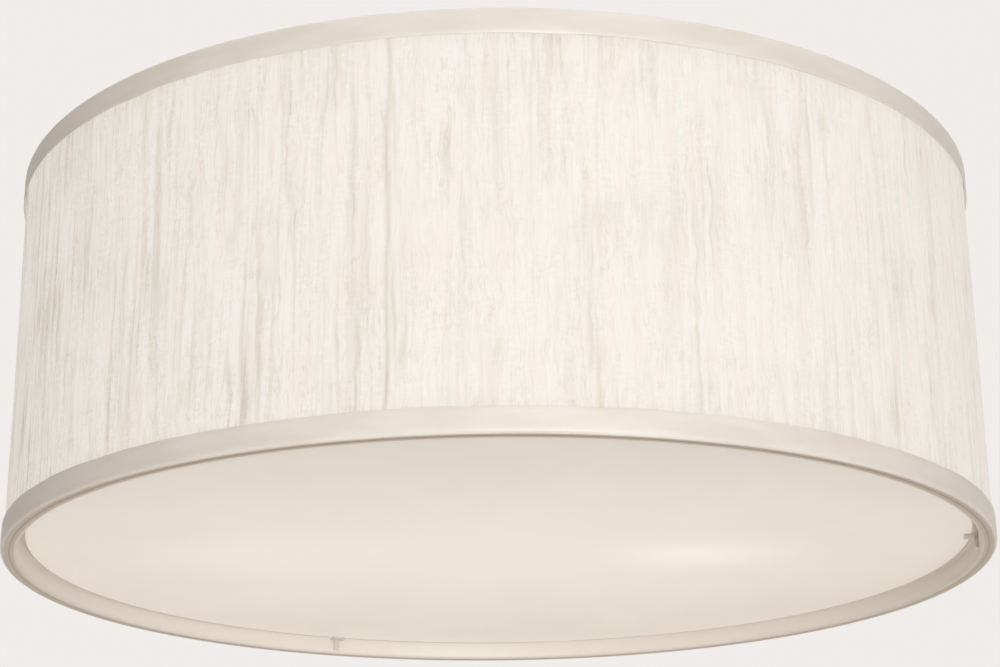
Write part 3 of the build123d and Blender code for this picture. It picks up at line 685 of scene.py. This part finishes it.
@dataclass(frozen=True)
class GlassFibre:
    """Glass fibre wool, felted: a tangle of pale yellow fibres with a soft loft."""

    name: str = "Glass fibre wool, felted"
    light: str = "F0E7CB"
    dark: str = "CDBD93"
    relief: float = 0.5
    # Each lay of fibres: how far it is turned, in radians, and its sizes in mm. Real fibres are
    # hundredths of a millimetre, so what shows is tufts of them.
    lays: tuple[tuple[float, Triple], ...] = (
        (0.6, (0.6, 9.0, 2.0)),
        (2.1, (0.7, 11.0, 2.0)),
    )

    def make(self) -> Material:
        """Two stretched noises, turned across each other, stand for tufts 0.6 mm wide.

        Returns:
            The material.
        """
        material, tree = new_material(self.name)
        spot = add_node(tree, "TexCoord").outputs["Object"]
        tangle = []
        for turn, size in self.lays:
            laid = add_node(tree, "Mapping", {
                "Vector": spot, "Rotation": (0.0, 0.0, turn),
                "Scale": tuple(1 / (width * MM) for width in size)})
            tangle.append(add_node(tree, "TexNoise", {
                "Vector": laid, "Scale": 1.0, "Distortion": 1.5}))
        fibres = add_node(tree, "Math", {0: tangle[0], 1: tangle[1]}, operation="MAXIMUM")
        share = add_node(tree, "MapRange", {"Value": fibres, "From Min": 0.45, "From Max": 0.75})
        colour = add_node(tree, "Mix", {
            0: share, 6: linear(self.dark), 7: linear(self.light)}, data_type="RGBA")
        bump = add_node(tree, "Bump", {"Height": fibres, "Distance": self.relief * MM})
        shader = add_node(tree, "BsdfPrincipled", {
            "Base Color": colour, "Roughness": 0.9, "Normal": bump})
        return finished(material, shader)


class Finish(Enum):
    """Every finish on the light, by the record's slot."""

    # Bright blue-white zinc over rolled strip: a cool, slightly cloudy metal.
    zinc_plated_steel = Metal("Zinc-plated steel, rolled and pressed", "C9CCCF", "A9ADB3", 0.34)
    # Baked enamel: smooth, white, with a soft gloss.
    white_enamel = Coating("White enamel on pressed steel, baked", "E2DDD3", "D8D2C7", 0.35,
                           coat=0.15)
    # Free-cutting brass off the lathe: warm yellow with fine turning marks.
    brass = Metal("Brass, turned", "D9B66A", "B88F45", 0.28, grain=(4.0, 4.0, 0.25))
    # Green dye over plating marks the grounding screw.
    green_ground_screw = Metal("Dyed zinc-plated steel, cold headed", "3E8A50", "2C6B3C", 0.36)
    # Tin over drawn copper: pale grey and soft in its shine.
    tinned_copper = Metal("Tinned copper, stamped", "C8C5BE", "A29E96", 0.38)
    # Extruded vinyl: an even colour, half gloss, as on all the leads.
    green_insulation = Coating("Green vinyl insulation, extruded", "2F7A3F", "276534", 0.42)
    # Moulded polypropylene: a strong colour under a waxy half gloss, as on all the wire nuts.
    green_plastic = Coating("Green polypropylene, moulded", "2E8B4A", "27753E", 0.45)
    orange_plastic = Coating("Orange polypropylene, moulded", "E0762A", "C96722", 0.45)
    # The black lead is live and the white one neutral.
    black_insulation = Coating("Black vinyl insulation, extruded", "1C1B1A", "2A2826", 0.4)
    white_insulation = Coating("White vinyl insulation, extruded", "E9E6DE", "DAD5CA", 0.42)
    glass_fibre_pad = GlassFibre()
    styrene_liner = StyreneLiner()
    crinkled_silk = CrinkledSilk()
    satin_tape = SatinTape()
    opal_acrylic = OpalSheet()
    # Wood-flour phenolic: near black, with a satin mould skin.
    phenolic = Coating("Phenolic, compression moulded", "241F1C", "33291F", 0.33)
    soft_white_glass = SoftWhiteGlass()
    # Thin aluminium with a rolled thread: bright, with drawing lines round it.
    bulb_cap_aluminium = Metal("Aluminium bulb cap, drawn and rolled", "D9DADB", "BFC1C3", 0.3)
    # Fused insulating glass in the cap: black and shiny, with soft edges to its highlights.
    black_glass = Glass("Black insulating glass, fused", "0B0B0D", 0.0, 0.12)
    # Drawn glass of the stem: clear, with a faint grey-green cast.
    clear_glass = Glass("Clear lead glass, drawn", "F4F7F4", 0.9)
    # Drawn wire: dark grey and only softly shiny.
    tungsten = Metal("Tungsten and nickel wire, drawn", "8E8B88", "6F6C69", 0.4)


NODES_IN: dict[Finish, tuple[str, ...]] = {
    Finish.zinc_plated_steel: (
        "mounting_strap", "pan_studs", "stud_lock_nuts", "threaded_nipple", "upper_lock_washer",
        "upper_nipple_nut", "lower_lock_washer", "lower_nipple_nut", "spider_hub", "spider_arms",
        "socket_bracket", "socket_screws"),
    Finish.white_enamel: (
        "ceiling_pan", "top_ring", "bottom_ring", "right_diffuser_clip", "far_diffuser_clip",
        "near_diffuser_clip"),
    Finish.brass: ("cap_nuts",),
    Finish.green_ground_screw: ("strap_ground_screw",),
    Finish.tinned_copper: ("ground_terminal",),
    Finish.green_insulation: ("ground_lead",),
    Finish.green_plastic: ("ground_wire_nut",),
    Finish.orange_plastic: ("hot_wire_nut", "neutral_wire_nut"),
    Finish.styrene_liner: ("shade_liner",),
    Finish.opal_acrylic: ("diffuser",),
}
# Nodes of which there is one on the right and one on the left.
PAIRS_IN: dict[Finish, tuple[str, ...]] = {
    Finish.phenolic: ("socket_body",),
    Finish.bulb_cap_aluminium: ("screw_shell", "bulb_cap"),
    Finish.brass: ("centre_contact",),
    Finish.black_insulation: ("hot_lead",),
    Finish.white_insulation: ("neutral_lead",),
    Finish.soft_white_glass: ("bulb_glass",),
    Finish.tinned_copper: ("bulb_contact",),
    Finish.black_glass: ("bulb_insulator",),
    Finish.clear_glass: ("bulb_stem",),
    Finish.tungsten: ("bulb_support_wires", "bulb_filament"),
}


class Wardrobe:
    """Makes each finish once and dresses pieces and CAD nodes in it."""

    def __init__(self) -> None:
        """Makes every finish's material."""
        self.materials = {finish: finish.value.make() for finish in Finish}

    def dress(self, piece: Object, finish: Finish) -> None:
        """Gives a piece one finish all over."""
        piece.data.materials.clear()
        piece.data.materials.append(self.materials[finish])

    def dress_nodes(self) -> None:
        """Gives every CAD node that stays visible its finish."""
        for finish in Finish:
            pairs = [f"{side}_{name}" for name in PAIRS_IN.get(finish, ())
                     for side in ("right", "left")]
            for name in (*NODES_IN.get(finish, ()), *pairs):
                self.dress(NODES[name], finish)
                log.info("%s: %s", name, finish.name)


# ---- shade
@dataclass
class Wall:
    """The shade's slightly tapered wall, measured on the CAD trims."""

    taper: float = 1.9 * MM

    def __post_init__(self) -> None:
        """Reads the wall's levels and its lower radius from the frame."""
        low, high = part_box("bottom_trim")
        self.low, self.radius = low.z, high.x
        self.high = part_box("top_trim")[1].z
        self.length = 2 * math.pi * self.radius

    def outer(self, height: np.ndarray | float) -> np.ndarray:
        """Radius of the trims' outer face: it falls in a straight line by the taper."""
        share = (np.asarray(height) - self.low) / (self.high - self.low)
        return self.radius - share * self.taper

    def unrolled(self, columns: int, widths: np.ndarray) -> np.ndarray:
        """Where the points of a piece that goes once round the shade lie on its flat strip.

        Args:
            columns: how many columns of points the piece has.
            widths: how far across the strip each row lies.

        Returns:
            The places in metres, as rows x columns + 1 x 2.
        """
        along = np.arange(columns + 1) / columns * self.length
        return np.stack(np.meshgrid(along, widths), -1)


@dataclass(frozen=True)
class Crinkle:
    """One size of crinkle in the silk.

    It is cut off at the share `top` of its noise, and gets painted crease shade, as strong as
    `dark`, where the noise is under about `crease`. `cells` of the noise lie up the shade.
    `lift` and `shade` hold a steady share and the one that follows how hard the cloth was
    crushed there.
    """

    size: float
    height: float
    top: float
    crease: float
    dark: float
    cells: int
    seed: int
    lift: Pair
    shade: Pair


@dataclass
class SilkSkin:
    """The crinkled silk round the shade, with its folded seam."""

    wall: Wall
    columns: int = 2520
    rows: int = 39
    under_tape: float = 2.1 * MM
    inset: float = 1.4 * MM
    crinkles: tuple[Crinkle, ...] = (
        Crinkle(1.9 * MM, 0.15 * MM, 0.6, 0.22, 0.20, 3, 13, (0.4, 1.2), (0.3, 1.4)),
        Crinkle(4.4 * MM, 0.16 * MM, 0.7, 0.16, 0.22, 1, 14, (1.0, 0.0), (0.0, 1.0)),
    )
    slow_wander: float = 2.6 * MM
    quick_wander: float = 0.9 * MM
    seam_angle: float = math.radians(259.2)
    seam_depth: float = 0.40 * MM
    seam_width: float = 1.1 * MM
    seam_wander: float = 2.0 * MM
    # Painted shade in the seam's dip.
    seam_painted_shade: float = 0.6
    lip_distance: float = 3.2 * MM
    lip_width: float = 1.9 * MM
    lip_height: float = 0.3 * MM
    # Painted highlight on the lip beside the seam.
    lip_painted_highlight: float = 0.2

    def relief(self, across: np.ndarray, up: np.ndarray) -> tuple[np.ndarray, np.ndarray]:
        """Height of the crinkles, and the painted crease shade on each point.

        Both sizes of crinkle are |2n - 1| of a noise n that is long up the shade, cut off at its
        top and taken at a place that wanders sideways, so that thin creases run between round
        strands. The seam is a bell-shaped dip with painted shade in it, partly real where the
        cloth overlaps, and the lip beside it a bell-shaped rise with a painted highlight on it.

        Args:
            across: share of the way round from the seam.
            up: share of the way up.

        Returns:
            The height in metres, and the painted shade from 0 to 1.
        """
        length = self.wall.length
        wander = (lattice_noise(across, up, (46, 2), 11) - 0.5) * self.slow_wander
        wander += (lattice_noise(across, up, (260, 7), 12) - 0.5) * self.quick_wander
        moved = across + wander / length
        strength = lattice_noise(across, up, (70, 4), 15)
        height, depth = np.zeros(across.shape), np.zeros(across.shape)
        for kind in self.crinkles:
            cells = (int(length / kind.size), kind.cells)
            bulge = np.abs(2 * lattice_noise(moved, up, cells, kind.seed) - 1)
            crease = np.exp(-((bulge / kind.crease) ** 2))
            rounded = kind.height * np.minimum(bulge, kind.top) / kind.top
            height += rounded * (kind.lift[0] + kind.lift[1] * strength)
            # Painted crease shade, deepest where the crinkle's noise crosses its middle.
            depth += kind.dark * crease * (kind.shade[0] + kind.shade[1] * strength)
        side = (across + 0.5) % 1.0 - 0.5
        drift = lattice_noise(up * 0.83, up * 0 + 0.5, (7, 1), 16) - 0.5
        gap = side * length + drift * self.seam_wander
        seam = np.exp(-((gap / self.seam_width) ** 2))
        lip = np.exp(-(((gap + self.lip_distance) / self.lip_width) ** 2))
        height = height - self.seam_depth * seam + self.lip_height * lip
        # Painted shade in the seam's dip and a painted highlight on its lip.
        shade = np.maximum(depth, self.seam_painted_shade * seam) - self.lip_painted_highlight * lip
        return height, np.clip(shade, 0.0, 1.0)

    def build(self, wardrobe: Wardrobe) -> None:
        """Lays the sheet round the wall, with its places on the flat cloth.

        Args:
            wardrobe: what dresses the piece.
        """
        low, high = self.wall.low + self.under_tape, self.wall.high - self.under_tape
        across, up = np.meshgrid(
            np.arange(self.columns) / self.columns, np.linspace(0, 1, self.rows))
        height, depth = self.relief(across, up)
        z = low + up * (high - low)
        radius = self.wall.outer(z) - self.inset + height
        points = around(radius, self.seam_angle + across * 2 * math.pi, z)
        flat = self.wall.unrolled(self.columns, np.linspace(0, high - low, self.rows))
        # The fold values carry the painted crease shade to the silk's material.
        piece = grid_object("silk_skin", points, (False, True), flat, {"fold": depth})
        wardrobe.dress(piece, Finish.crinkled_silk)
        place(piece, "fixture", "crinkled_silk", "shade_fabric")


@dataclass
class RimTape:
    """Satin tape folded over a rim of the shade, from its outer edge round to its inner one."""

    wall: Wall
    name: str
    node: str
    upward: int
    height: float
    width: float = 6.8 * MM
    thickness: float = 0.6 * MM
    fold_radius: float = 1.4 * MM
    groove_depth: float = 0.28 * MM
    groove_inset: float = 3.3 * MM
    groove_width: float = 0.45 * MM
    unevenness: float = 0.5 * MM
    columns: int = 540

    def section(self) -> tuple[np.ndarray, np.ndarray]:
        """Closed outline of the tape.

        A centreline of straight runs and two quarter circles is moved half the thickness to each
        side and closed by a half circle at each edge. Under the wire the outer side dips by a
        bell curve, which is the groove where the tape turns in.

        Returns:
            Depth in from the outer face and height over the rim's edge, as points x 2, and
            how far along the tape's width each point is.
        """
        bend = self.fold_radius - self.thickness / 2
        half = self.thickness / 2
        quarter = np.linspace(0, math.pi / 2, 7)
        legs = np.linspace(self.height, self.fold_radius, 6)
        floor = np.linspace(self.fold_radius, self.width - self.fold_radius, 15)[1:-1]
        centre = np.concatenate([
            np.stack([np.full(legs.shape, half), legs], -1)[:-1],
            np.stack([self.fold_radius - bend * np.cos(quarter),
                      self.fold_radius - bend * np.sin(quarter)], -1),
            np.stack([floor, np.full(floor.shape, half)], -1),
            np.stack([self.width - self.fold_radius + bend * np.sin(quarter),
                      self.fold_radius - bend * np.cos(quarter)], -1),
            np.stack([np.full(legs.shape, self.width - half), legs[::-1]], -1)[1:],
        ])
        along = np.gradient(centre, axis=0)
        along /= np.linalg.norm(along, axis=1, keepdims=True)
        out = np.stack([along[:, 1], -along[:, 0]], -1)
        travel = np.concatenate([[0], np.cumsum(np.linalg.norm(np.diff(centre, axis=0), axis=1))])
        arc = np.linspace(0, math.pi, 5)[1:-1, None]
        first = centre[0] + half * (-out[0] * np.cos(arc) - along[0] * np.sin(arc))
        last = centre[-1] + half * (out[-1] * np.cos(arc) + along[-1] * np.sin(arc))
        gap = (centre[:, :1] - self.groove_inset) / self.groove_width
        dip = self.groove_depth * np.exp(-(gap**2)) * (centre[:, 1:] < self.fold_radius)
        loop = np.concatenate([
            centre + (half - dip) * out, last, (centre - half * out)[::-1], first])
        width_at = np.concatenate([travel, np.full(3, travel[-1]), travel[::-1], np.zeros(3)])
        return loop, width_at

    def build(self, wardrobe: Wardrobe) -> None:
        """Carries the outline round the rim, with slightly uneven edges and its places on the flat
        tape.

        Args:
            wardrobe: what dresses the piece.
        """
        loop, width_at = self.section()
        edge = self.wall.low if self.upward > 0 else self.wall.high
        share = np.arange(self.columns) / self.columns
        across, inset = np.meshgrid(share, loop[:, 0])
        rise = np.broadcast_to(loop[:, 1:2], across.shape)
        uneven = lattice_noise(across, across * 0, (90, 1), 21 + self.upward) - 0.5
        rise = rise + uneven * self.unevenness * np.clip(rise / self.height, 0, 1) ** 2
        z = edge + self.upward * rise
        radius = self.wall.outer(z) - inset
        points = around(radius, across * 2 * math.pi, z)
        if self.upward < 0:
            points, width_at = points[::-1], width_at[::-1]
        flat = self.wall.unrolled(self.columns, np.append(width_at, width_at[0]))
        piece = grid_object(self.name, points, (True, True), flat)
        wardrobe.dress(piece, Finish.satin_tape)
        place(piece, "fixture", "satin_tape", self.node)


# ---- pan
@dataclass
class HeatPad:
    """The glass fibre pad in the pan, cut round, with holes for the leads and the studs."""

    columns: int = 300
    hole_radius: float = 14.0 * MM
    stud_hole_radius: float = 6.0 * MM
    stud_distance: float = 60.0 * MM
    edge: float = 2.6 * MM
    loft: float = 1.1 * MM
    small_dents: float = 0.5
    cutter_length: float = 100.0 * MM

    def section(self) -> tuple[np.ndarray, np.ndarray]:
        """Closed outline of the pad: two long faces joined by a half ellipse at each edge.

        Returns:
            Radius in metres, and height from -1 on the lower face to 1 on the upper one.
        """
        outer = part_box("insulation_pad")[1].x
        faces = np.linspace(self.hole_radius + self.edge, outer - self.edge, 30)
        turn = np.linspace(-math.pi / 2, math.pi / 2, 9)[1:-1]
        radius = np.concatenate([faces, outer - self.edge * (1 - np.cos(turn)), faces[::-1],
                                 self.hole_radius + self.edge * (1 - np.cos(turn))])
        height = np.concatenate([np.full(faces.shape, -1.0), np.sin(turn),
                                 np.full(faces.shape, 1.0), -np.sin(turn)])
        return radius, height

    def pierce(self, pad: Object) -> None:
        """Cuts a round hole through the pad for each stud.

        Args:
            pad: the piece, whose mesh is replaced by the cut one.
        """
        for side in (-1, 1):
            cutter_mesh = bpy.data.meshes.new("cutter")
            shape = bmesh.new()
            bmesh.ops.create_cone(
                shape, cap_ends=True, segments=48, radius1=self.stud_hole_radius,
                radius2=self.stud_hole_radius, depth=self.cutter_length,
                matrix=Matrix.Translation((0.0, side * self.stud_distance, 0.0)))
            shape.to_mesh(cutter_mesh)
            shape.free()
            cutter = new_object("cutter", cutter_mesh)
            cut = pad.modifiers.new("cut", "BOOLEAN")
            cut.operation = "DIFFERENCE"
            cut.solver = "EXACT"
            cut.object = cutter
            pierced = bpy.data.meshes.new_from_object(
                pad.evaluated_get(bpy.context.evaluated_depsgraph_get()))
            pad.modifiers.clear()
            pad.data = pierced
            bpy.data.objects.remove(cutter)

    def build(self, wardrobe: Wardrobe) -> None:
        """Turns the outline about Z, lets the wool's loft dent both faces, and cuts it.

        Args:
            wardrobe: what dresses the piece.
        """
        low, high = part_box("insulation_pad")
        middle, half = (low.z + high.z) / 2, (high.z - low.z) / 2
        radius, height = self.section()
        share = np.arange(self.columns) / self.columns
        across, out = np.meshgrid(share, radius / high.x)
        level = np.broadcast_to(height[:, None], across.shape)
        upper = (level > 0).astype(float)
        dent = lattice_noise(across + 0.3 * upper, out, (42, 12), 31)
        dent += self.small_dents * lattice_noise(across + 0.6 * upper, out, (130, 30), 32)
        z = middle + level * (half - self.loft * dent / (1.0 + self.small_dents))
        points = around(np.broadcast_to(radius[:, None], across.shape), across * 2 * math.pi, z)
        piece = grid_object("heat_pad", points, (True, True))
        self.pierce(piece)
        wardrobe.dress(piece, Finish.glass_fibre_pad)
        place(piece, "fixture", "glass_fibre_pad", "insulation_pad")


# ---- studio
@dataclass
class Studio:
    """Camera, floor and light."""

    lens: float = 87.16
    position: Triple = (0.0014, -0.9839, -0.3881)
    pitch: float = 18.45
    roll: float = -0.62
    background: str = "F0EDEB"
    floor_z: float = -2.5
    floor_reach: float = 14.0
    floor_glow: float = 0.85
    aim_at: Triple = (0.0, 0.0, -0.08)
    ambient: float = 0.15
    ambient_colour: str = "FFDFBA"

    def camera(self) -> None:
        """Sets the camera that the photograph's perspective was measured to have."""
        data = bpy.data.cameras.new("camera")
        data.lens = self.lens
        data.sensor_width = 36.0
        data.clip_start = 0.02
        camera = new_object("camera", data)
        turn = Matrix.Rotation(math.radians(90 + self.pitch), 4, "X")
        turn = turn @ Matrix.Rotation(math.radians(self.roll), 4, "Z")
        camera.matrix_world = Matrix.Translation(self.position) @ turn
        bpy.context.scene.camera = camera

    def lamp(
        self, name: str, place_at: Triple, size: float, power: float,
        colour: str = "FFFFFF", mirrored: bool = True
    ) -> None:
        """Adds a square soft light that faces the shade.

        Args:
            name: the light's name.
            place_at: where it stands.
            size: its side in metres.
            power: its power in watts.
            colour: its colour as hex.
            mirrored: whether glossy surfaces show it.
        """
        data = bpy.data.lights.new(name, "AREA")
        data.size = size
        data.energy = power
        data.color = linear(colour)[:3]
        light = new_object(name, data)
        aim = Vector(self.aim_at) - Vector(place_at)
        turn = aim.to_track_quat("-Z", "Y").to_matrix().to_4x4()
        light.matrix_world = Matrix.Translation(place_at) @ turn
        light.visible_glossy = mirrored

    def seen(self, tree: NodeTree, *rays: str) -> Any:
        """1 for what the camera sees, directly or by the given kinds of ray, and 0 for the rest.

        Args:
            tree: the node tree.
            rays: the outputs of Light Path that count besides the camera's own.

        Returns:
            The node that gives the number.
        """
        path = add_node(tree, "LightPath")
        either: Any = path.outputs["Is Camera Ray"]
        for ray in rays:
            either = add_node(tree, "Math", {0: either, 1: path.outputs[ray]}, operation="MAXIMUM")
        return either

    def world(self) -> None:
        """A pale surround for the camera and for reflections, and dimmer light on the object."""
        world = bpy.data.worlds.new("surround")
        world.use_nodes = True
        tree = world.node_tree
        tree.nodes.clear()
        seen = self.seen(tree, "Is Glossy Ray", "Is Transmission Ray")
        soft = add_node(tree, "Background", {
            "Color": linear(self.ambient_colour), "Strength": self.ambient})
        shown = add_node(tree, "Background", {"Color": linear(self.background)})
        both = add_node(tree, "MixShader", {0: seen, 1: soft, 2: shown})
        add_node(tree, "OutputWorld", {"Surface": both})
        bpy.context.scene.world = world

    def floor(self) -> None:
        """A wide pale floor that shows the background's colour and keeps a faint shadow."""
        edge = np.linspace(-self.floor_reach, self.floor_reach, 2)
        x, y = np.meshgrid(edge, edge)
        floor = grid_object("floor", np.stack([x, y, np.full(x.shape, self.floor_z)], -1),
                            (False, False))
        material, tree = new_material("Painted plaster floor, rolled")
        seen = self.seen(tree, "Is Glossy Ray")
        share = add_node(tree, "Math", {0: seen, 1: self.floor_glow}, operation="MULTIPLY")
        matt = add_node(tree, "BsdfDiffuse", {"Color": linear(self.background)})
        shown = add_node(tree, "Emission", {"Color": linear(self.background)})
        both = add_node(tree, "MixShader", {0: share, 1: matt, 2: shown})
        floor.data.materials.append(finished(material, both))

    def build(self) -> None:
        """Sets up the whole studio in plain, standard colour."""
        bpy.context.scene.view_settings.view_transform = "Standard"
        self.camera()
        self.world()
        self.floor()
        self.lamp("key", (0.46, -2.6, -0.4), 0.9, 51.5, "FBFCFF")
        self.lamp("back_left", (-0.7, 2.5, 0.75), 0.9, 30.0, "FFE6C6", mirrored=False)
        self.lamp("back_right", (0.7, 2.5, 0.75), 0.9, 30.0, mirrored=False)
        self.lamp("below", (0.0, 0.0, -2.4), 1.2, 6.0)
        self.lamp("above", (0.0, 0.0, 2.4), 1.2, 34.0, mirrored=False)


def main() -> None:
    """Dresses the CAD nodes, builds the soft pieces and sets up the studio."""
    logging.basicConfig(level=logging.INFO, format="%(name)s %(message)s")
    Studio().build()
    wardrobe = Wardrobe()
    wardrobe.dress_nodes()
    wall = Wall()
    SilkSkin(wall).build(wardrobe)
    RimTape(wall, "top_tape", "top_trim", upward=-1, height=10.0 * MM).build(wardrobe)
    RimTape(wall, "bottom_tape", "bottom_trim", upward=1, height=9.4 * MM).build(wardrobe)
    HeatPad().build(wardrobe)


if __name__ == "__main__":
    main()
